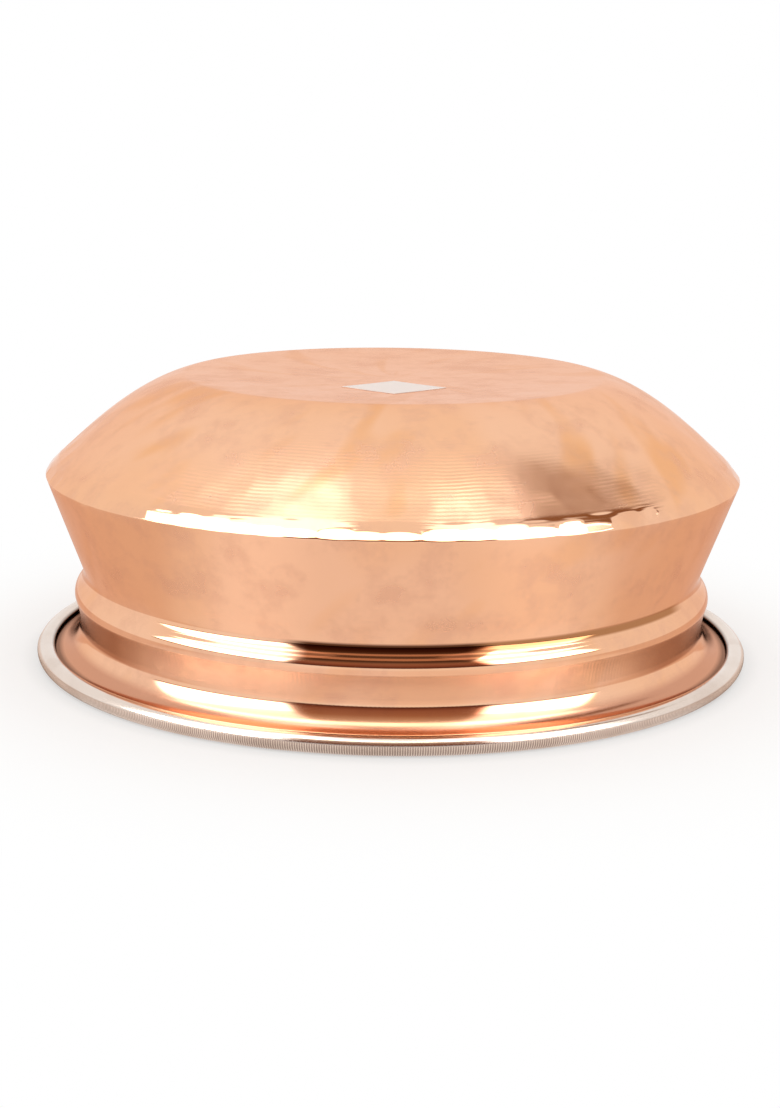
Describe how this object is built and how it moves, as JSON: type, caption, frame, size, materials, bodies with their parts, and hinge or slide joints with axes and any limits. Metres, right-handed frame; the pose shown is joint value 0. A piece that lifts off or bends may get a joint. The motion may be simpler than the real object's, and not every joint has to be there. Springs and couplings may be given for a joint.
{
  "type": "cooking pot",
  "caption": "Low wide round cooking pot of hammered copper over a steel liner, with a rolled rim, standing mouth down.",
  "frame": {"origin": "centre of the mouth, in the plane that the rolled rim rests on when the pot stands mouth down as pictured", "axes": "+Z along the pot's axis of turning, from the mouth towards the base; the pot is turned over for use, so that -Z points up"},
  "size_m": [0.2, 0.2, 0.0785],
  "materials": {
    "copper": "hammered and polished copper",
    "liner_steel": "bright stainless steel, brushed inside and rolled at the rim",
    "rim_wire_steel": "drawn wire"
  },
  "bodies": {
    "root": {"copper_jacket": "copper", "steel_liner": "liner_steel", "rim_wire": "rim_wire_steel"}
  },
  "joints": []
}
